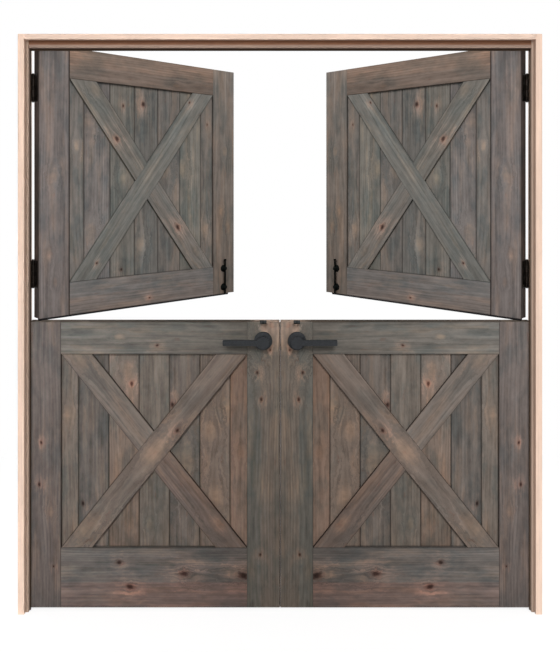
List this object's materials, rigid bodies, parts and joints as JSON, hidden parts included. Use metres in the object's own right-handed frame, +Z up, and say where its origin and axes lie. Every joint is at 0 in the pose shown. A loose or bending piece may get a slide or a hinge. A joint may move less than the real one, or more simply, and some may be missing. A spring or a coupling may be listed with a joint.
{
  "type": "dutch stable door",
  "caption": "Double dutch stable door in a plain timber frame: boarded leaves with cross braces, upper and lower halves swinging apart, drop bolts, butt hinges and lever-worked bolts.",
  "frame": {"origin": "floor level at the middle of the opening, in the plane of the frame's front edges", "axes": "+X to the right seen from outside, +Y indoors, +Z up"},
  "size_m": [1.883, 0.7096, 2.085],
  "materials": {
    "frame_wood": "raw pale softwood, planed",
    "leaf_wood": "grey-brown stained softwood",
    "board_wood": "grey-brown stained softwood boards",
    "brace_wood": "grey-brown stained softwood",
    "weatherstrip": "dark brown foam-backed strip",
    "seal_rubber": "black rubber",
    "hinge_metal": "satin black",
    "bolt_iron": "black, slightly textured",
    "lever_metal": "satin charcoal",
    "lock_steel": "satin"
  },
  "bodies": {
    "frame": {"left_jamb": "frame_wood", "right_jamb": "frame_wood", "head_jamb": "frame_wood", "left_stop": "frame_wood", "right_stop": "frame_wood", "head_stop": "frame_wood", "weatherstrips": "weatherstrip", "left_jamb_hinge_leaves": "hinge_metal", "right_jamb_hinge_leaves": "hinge_metal", "hinge_pins": "hinge_metal"},
    "upper_left_leaf": {"upper_left_hinge_stile": "leaf_wood", "upper_left_meeting_stile": "leaf_wood", "upper_left_top_rail": "leaf_wood", "upper_left_bottom_rail": "leaf_wood", "upper_left_panel_boards": "board_wood", "upper_left_long_braces": "brace_wood", "upper_left_half_braces": "brace_wood", "upper_left_hinge_leaves": "hinge_metal", "upper_left_bottom_seal": "seal_rubber", "upper_left_bolt_guides": "bolt_iron"},
    "upper_left_bolt": {"upper_left_bolt_rod": "bolt_iron"},
    "upper_right_leaf": {"upper_right_hinge_stile": "leaf_wood", "upper_right_meeting_stile": "leaf_wood", "upper_right_top_rail": "leaf_wood", "upper_right_bottom_rail": "leaf_wood", "upper_right_panel_boards": "board_wood", "upper_right_long_braces": "brace_wood", "upper_right_half_braces": "brace_wood", "upper_right_hinge_leaves": "hinge_metal", "upper_right_bottom_seal": "seal_rubber", "upper_right_bolt_guides": "bolt_iron"},
    "upper_right_bolt": {"upper_right_bolt_rod": "bolt_iron"},
    "lower_left_leaf": {"lower_left_hinge_stile": "leaf_wood", "lower_left_meeting_stile": "leaf_wood", "lower_left_top_rail": "leaf_wood", "lower_left_bottom_rail": "leaf_wood", "lower_left_panel_boards": "board_wood", "lower_left_long_braces": "brace_wood", "lower_left_half_braces": "brace_wood", "lower_left_hinge_leaves": "hinge_metal", "lower_left_bolt_keeper": "bolt_iron", "lower_left_rosettes": "lever_metal", "lower_left_strike_plate": "lock_steel"},
    "lower_left_lever": {"lower_left_outside_lever": "lever_metal", "lower_left_inside_lever": "lever_metal"},
    "lower_right_leaf": {"lower_right_hinge_stile": "leaf_wood", "lower_right_meeting_stile": "leaf_wood", "lower_right_top_rail": "leaf_wood", "lower_right_bottom_rail": "leaf_wood", "lower_right_panel_boards": "board_wood", "lower_right_long_braces": "brace_wood", "lower_right_half_braces": "brace_wood", "lower_right_hinge_leaves": "hinge_metal", "lower_right_bolt_keeper": "bolt_iron", "lower_right_rosettes": "lever_metal", "lower_right_lock_case": "lock_steel"},
    "lower_right_lever": {"lower_right_outside_lever": "lever_metal", "lower_right_inside_lever": "lever_metal"},
    "lower_left_floor_bolt": {"lower_left_floor_bolt": "lock_steel"},
    "lower_right_lock_bolt": {"lower_right_lock_bolt": "lock_steel"}
  },
  "joints": [
    {"name": "upper_left_swing", "type": "hinge", "parent": "frame", "child": "upper_left_leaf", "pos_m": [-0.917, 0.0824, 1.557], "axis": [0, 0, 1], "range_deg": [-43, 62]},
    {"name": "upper_right_swing", "type": "hinge", "parent": "frame", "child": "upper_right_leaf", "pos_m": [0.917, 0.0824, 1.557], "axis": [0, 0, -1], "range_deg": [-43, 62]},
    {"name": "lower_left_swing", "type": "hinge", "parent": "frame", "child": "lower_left_leaf", "pos_m": [-0.917, 0.0824, 0.525], "axis": [0, 0, 1], "range_deg": [0, 105]},
    {"name": "lower_right_swing", "type": "hinge", "parent": "frame", "child": "lower_right_leaf", "pos_m": [0.917, 0.0824, 0.525], "axis": [0, 0, -1], "range_deg": [0, 105]},
    {"name": "upper_left_bolt_drop", "type": "slide", "parent": "upper_left_leaf", "child": "upper_left_bolt", "axis": [0, 0, -1], "range_m": [0, 0.02]},
    {"name": "upper_right_bolt_drop", "type": "slide", "parent": "upper_right_leaf", "child": "upper_right_bolt", "axis": [0, 0, -1], "range_m": [0, 0.02]},
    {"name": "lower_left_lever_turn", "type": "hinge", "parent": "lower_left_leaf", "child": "lower_left_lever", "pos_m": [-0.0615, 0.05375, 0.976], "axis": [0, -1, 0], "range_deg": [0, 90]},
    {"name": "lower_left_floor_bolt_drop", "type": "slide", "parent": "lower_left_leaf", "child": "lower_left_floor_bolt", "axis": [0, 0, -1], "range_m": [0, 0.02]},
    {"name": "lower_right_lever_turn", "type": "hinge", "parent": "lower_right_leaf", "child": "lower_right_lever", "pos_m": [0.0615, 0.05375, 0.976], "axis": [0, 1, 0], "range_deg": [0, 90]},
    {"name": "lower_right_lock_bolt_throw", "type": "slide", "parent": "lower_right_leaf", "child": "lower_right_lock_bolt", "axis": [-1, 0, 0], "range_m": [0, 0.014]}
  ],
  "couplings": [
    {"joint": "lower_left_floor_bolt_drop", "follows": "lower_left_lever_turn", "m_per_rad": 0.0127},
    {"joint": "lower_right_lock_bolt_throw", "follows": "lower_right_lever_turn", "m_per_rad": 0.0089}
  ]
}
